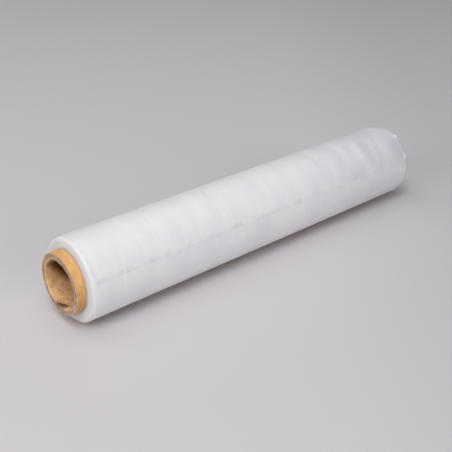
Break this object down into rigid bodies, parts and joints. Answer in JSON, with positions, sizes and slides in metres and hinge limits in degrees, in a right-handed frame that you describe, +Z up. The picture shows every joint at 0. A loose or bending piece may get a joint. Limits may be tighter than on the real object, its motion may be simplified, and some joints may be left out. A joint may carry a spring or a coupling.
{
  "type": "stretch wrap roll",
  "caption": "Hand roll of milky clear stretch film wound on a cardboard core that stands out at both ends, lying on its side, with a loose end on its front.",
  "frame": {"origin": "on the floor, under the middle of the roll, on the flat that it rests on", "axes": "+X runs along the roll towards its far end, +Z is up, and -Y is the front, where the film's free edge lies"},
  "size_m": [0.475, 0.0852, 0.0849],
  "materials": {
    "core_board": "matte",
    "film": "satin"
  },
  "bodies": {
    "root": {"paper_core": "core_board", "film_roll": "film"}
  },
  "joints": []
}
